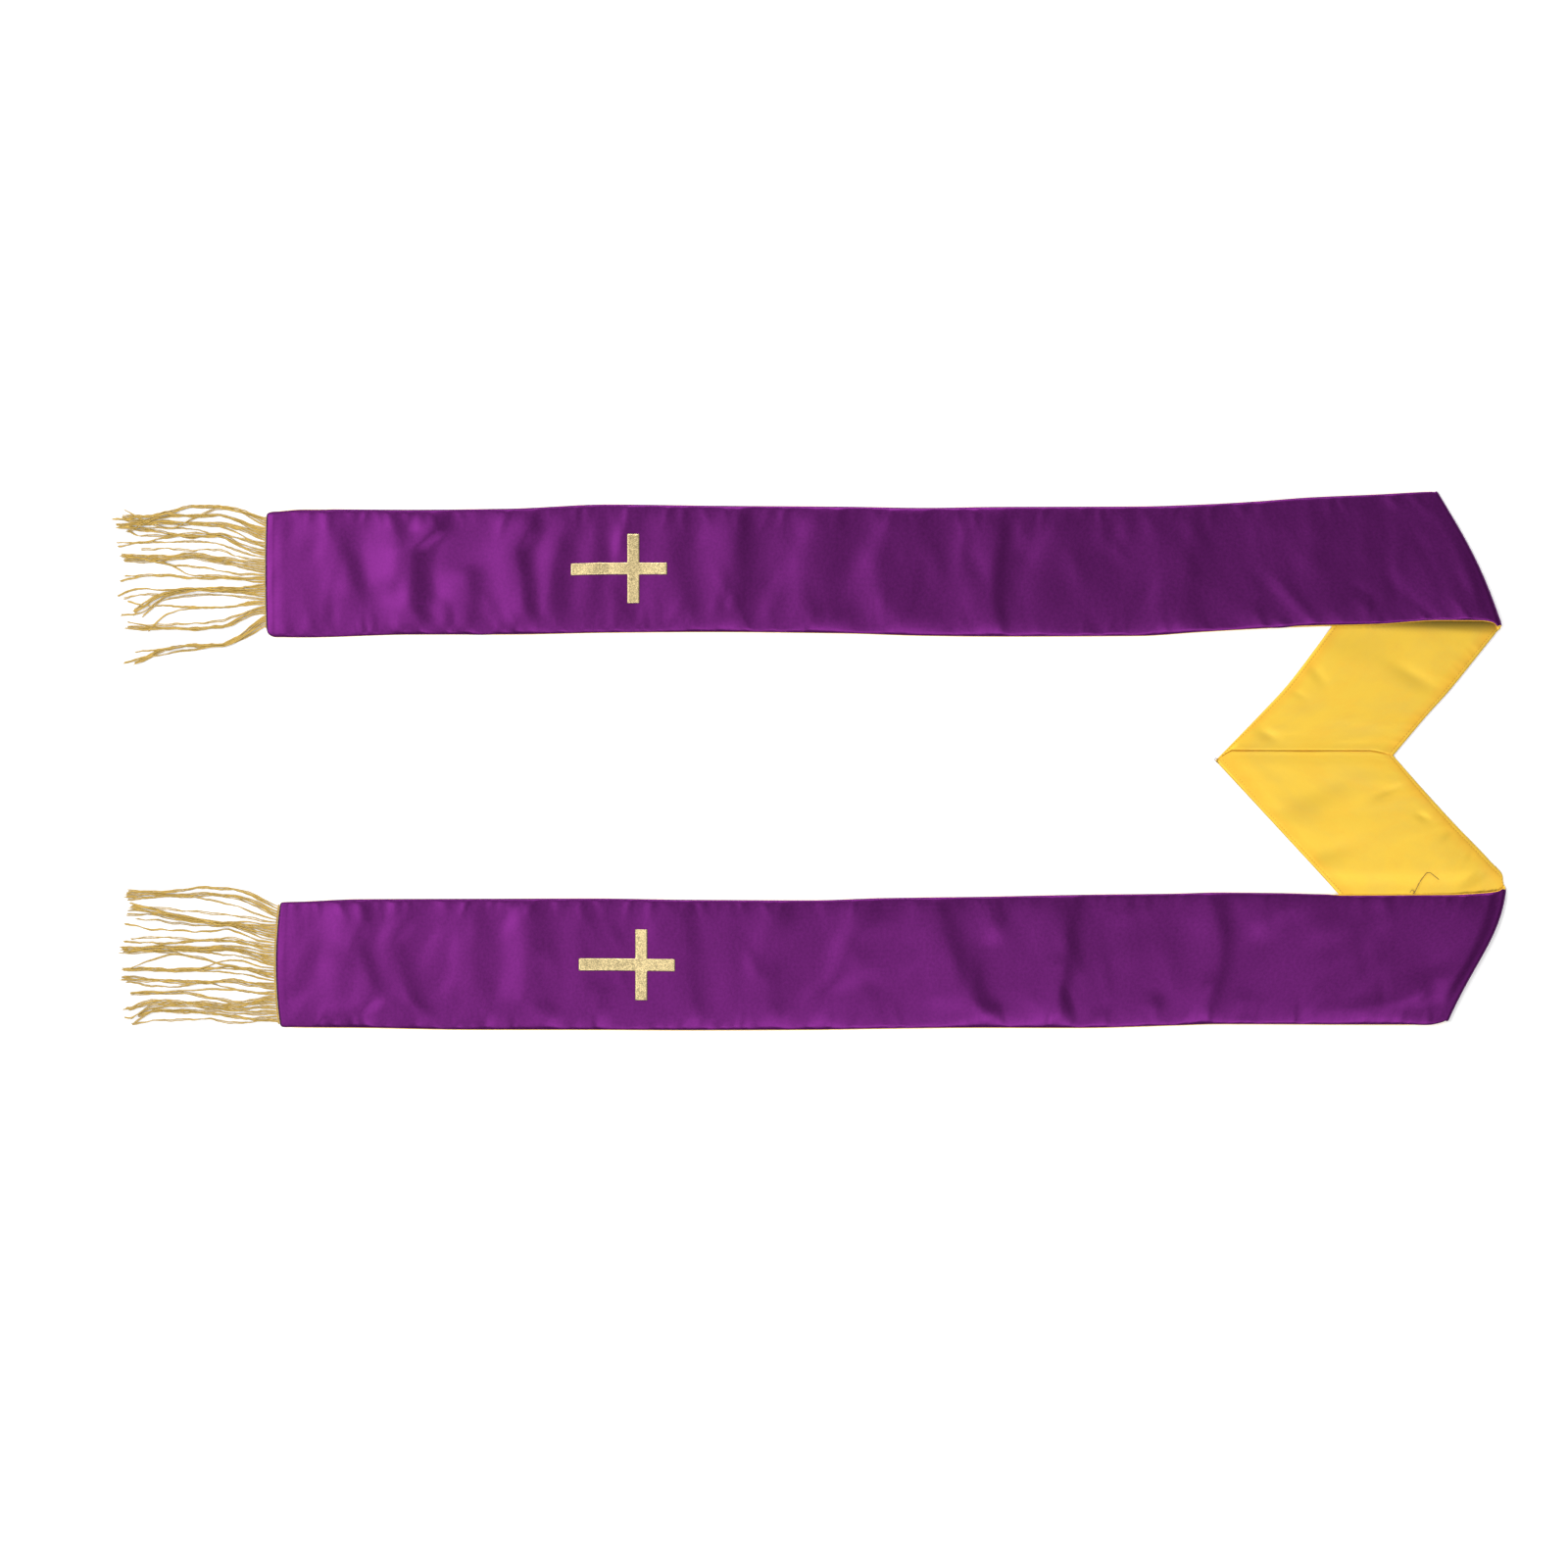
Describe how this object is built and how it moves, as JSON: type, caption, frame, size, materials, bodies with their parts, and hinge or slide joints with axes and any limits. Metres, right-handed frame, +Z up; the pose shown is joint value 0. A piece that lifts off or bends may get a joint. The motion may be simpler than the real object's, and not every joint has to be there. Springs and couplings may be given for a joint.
{
  "type": "clerical stole",
  "caption": "Reversible satin clerical stole laid out flat, its bands folded once at the shoulders, with a mitred neck seam, foil crosses and fringed ends.",
  "frame": {"origin": "centre of the bounding box in plan, on the surface that the stole lies on", "axes": "+X along the bands from the fringed hems to the shoulder folds, +Y across from the lower band to the upper one, +Z up from the surface"},
  "size_m": [1.2698, 0.4906, 0.0093],
  "materials": {
    "purple_satin": "purple polyester satin with a soft sheen",
    "yellow_satin": "golden yellow polyester satin with a soft sheen",
    "gold_foil": "pale gold foil bonded to the satin, finely speckled",
    "gold_fringe": "twisted gold thread with a dull metallic sheen"
  },
  "bodies": {
    "root": {"purple_panel_upper": "purple_satin", "purple_panel_lower": "purple_satin", "yellow_panel_upper": "yellow_satin", "yellow_panel_lower": "yellow_satin", "cross_upper": "gold_foil", "cross_lower": "gold_foil", "fringe_upper": "gold_fringe", "fringe_lower": "gold_fringe"}
  },
  "joints": []
}
